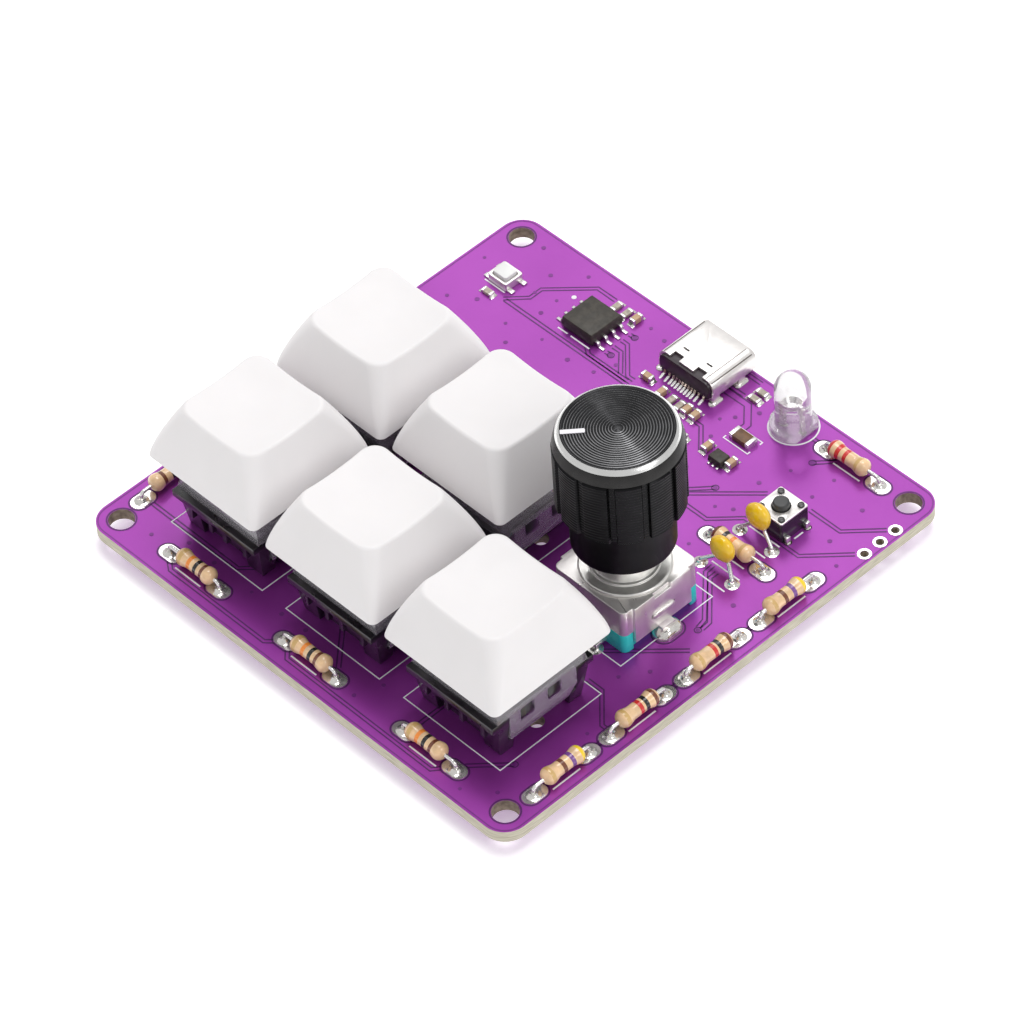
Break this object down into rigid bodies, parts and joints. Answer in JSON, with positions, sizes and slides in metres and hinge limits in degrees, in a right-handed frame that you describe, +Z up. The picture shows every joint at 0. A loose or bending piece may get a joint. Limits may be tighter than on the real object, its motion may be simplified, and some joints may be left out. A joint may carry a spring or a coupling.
{
  "type": "macro keypad",
  "caption": "Macro keypad: square circuit board with sprung key switches under white caps, a black push and turn knob, and a cable socket at the back edge.",
  "frame": {"origin": "centre of the four mounting holes, on the underside of the circuit board", "axes": "+Z up out of the keys, +Y towards the edge with the cable socket, +X towards the knob side"},
  "size_m": [0.07, 0.0701, 0.0318],
  "materials": {
    "board_purple": "purple solder mask with bare glass laminate edges",
    "housing_black": "moulded black plastic",
    "cover_clear": "clear plastic with a slight purple tint",
    "stem_plastic": "moulded plastic",
    "spring_steel": "spring steel",
    "cap_white": "smooth white plastic",
    "contact_gold": "plated contact metal",
    "base_teal": "moulded teal plastic",
    "steel_bright": "bright folded steel",
    "plunger_white": "moulded plastic",
    "tinned_lead": "tinned metal",
    "knob_black": "black anodised, with a bare silver edge",
    "sleeve_grey": "moulded grey plastic",
    "socket_black": "moulded black plastic",
    "button_dark": "moulded dark plastic",
    "boot_silver": "tinned steel",
    "boot_white": "moulded white plastic",
    "lamp_clear": "clear resin",
    "chip_black": "moulded resin",
    "crystal_silver": "plain metal lid",
    "fuse_grey": "dark ceramic",
    "ceramic_tan": "tan ceramic",
    "resistor_tan": "glossy tan lacquer with colour bands",
    "capacitor_amber": "glossy amber resin",
    "solder": "bright solder"
  },
  "bodies": {
    "board": {"circuit_board": "board_purple", "switch_base_1": "housing_black", "switch_base_2": "housing_black", "switch_base_3": "housing_black", "switch_base_4": "housing_black", "switch_base_5": "housing_black", "switch_cover_1": "cover_clear", "switch_cover_2": "cover_clear", "switch_cover_3": "cover_clear", "switch_cover_4": "cover_clear", "switch_cover_5": "cover_clear", "switch_spring_1": "spring_steel", "switch_spring_2": "spring_steel", "switch_spring_3": "spring_steel", "switch_spring_4": "spring_steel", "switch_spring_5": "spring_steel", "switch_pins": "contact_gold", "encoder_base": "base_teal", "encoder_can": "steel_bright", "encoder_bushing": "steel_bright", "encoder_pins": "tinned_lead", "usb_shell": "steel_bright", "usb_tongue": "socket_black", "usb_contacts": "tinned_lead", "reset_body": "socket_black", "reset_plate": "steel_bright", "boot_body": "boot_silver", "button_pins": "tinned_lead", "power_led": "lamp_clear", "led_leads": "tinned_lead", "flash_chip": "chip_black", "chip_pins": "tinned_lead", "controller_chip": "chip_black", "crystal": "crystal_silver", "regulator_chip": "chip_black", "fuse": "fuse_grey", "chip_capacitors": "ceramic_tan", "chip_resistors": "chip_black", "chip_terminals": "tinned_lead", "resistor_bodies": "resistor_tan", "blob_capacitors": "capacitor_amber", "wire_leads": "tinned_lead", "solder_joints": "solder"},
    "key_1": {"switch_stem_1": "stem_plastic", "keycap_1": "cap_white"},
    "key_2": {"switch_stem_2": "stem_plastic", "keycap_2": "cap_white"},
    "key_3": {"switch_stem_3": "stem_plastic", "keycap_3": "cap_white"},
    "key_4": {"switch_stem_4": "stem_plastic", "keycap_4": "cap_white"},
    "key_5": {"switch_stem_5": "stem_plastic", "keycap_5": "cap_white"},
    "push_button": {"encoder_plunger": "plunger_white"},
    "knob": {"encoder_shaft": "steel_bright", "knob_body": "knob_black", "knob_insert": "sleeve_grey"},
    "reset_key": {"reset_button": "button_dark"},
    "boot_key": {"boot_button": "boot_white"}
  },
  "joints": [
    {"name": "key_1_press", "type": "slide", "parent": "board", "child": "key_1", "axis": [0, 0, -1], "range_m": [0, 0.004], "stiffness_N_per_m": 100, "springref_m": -0.004, "deforming": ["switch_spring_1"]},
    {"name": "key_2_press", "type": "slide", "parent": "board", "child": "key_2", "axis": [0, 0, -1], "range_m": [0, 0.004], "stiffness_N_per_m": 100, "springref_m": -0.004, "deforming": ["switch_spring_2"]},
    {"name": "key_3_press", "type": "slide", "parent": "board", "child": "key_3", "axis": [0, 0, -1], "range_m": [0, 0.004], "stiffness_N_per_m": 100, "springref_m": -0.004, "deforming": ["switch_spring_3"]},
    {"name": "key_4_press", "type": "slide", "parent": "board", "child": "key_4", "axis": [0, 0, -1], "range_m": [0, 0.004], "stiffness_N_per_m": 100, "springref_m": -0.004, "deforming": ["switch_spring_4"]},
    {"name": "key_5_press", "type": "slide", "parent": "board", "child": "key_5", "axis": [0, 0, -1], "range_m": [0, 0.004], "stiffness_N_per_m": 100, "springref_m": -0.004, "deforming": ["switch_spring_5"]},
    {"name": "knob_push", "type": "slide", "parent": "board", "child": "push_button", "axis": [0, 0, -1], "range_m": [0, 0.0005], "stiffness_N_per_m": 2000, "springref_m": -0.0015},
    {"name": "knob_turn", "type": "hinge", "parent": "push_button", "child": "knob", "pos_m": [0.0195, -0.0009, 0.01], "axis": [0, 0, 1], "continuous": true},
    {"name": "reset_press", "type": "slide", "parent": "board", "child": "reset_key", "axis": [0, 0, -1], "range_m": [0, 0.00025], "stiffness_N_per_m": 800, "springref_m": -0.001},
    {"name": "boot_press", "type": "slide", "parent": "board", "child": "boot_key", "axis": [0, 0, -1], "range_m": [0, 0.0002], "stiffness_N_per_m": 800, "springref_m": -0.001}
  ]
}
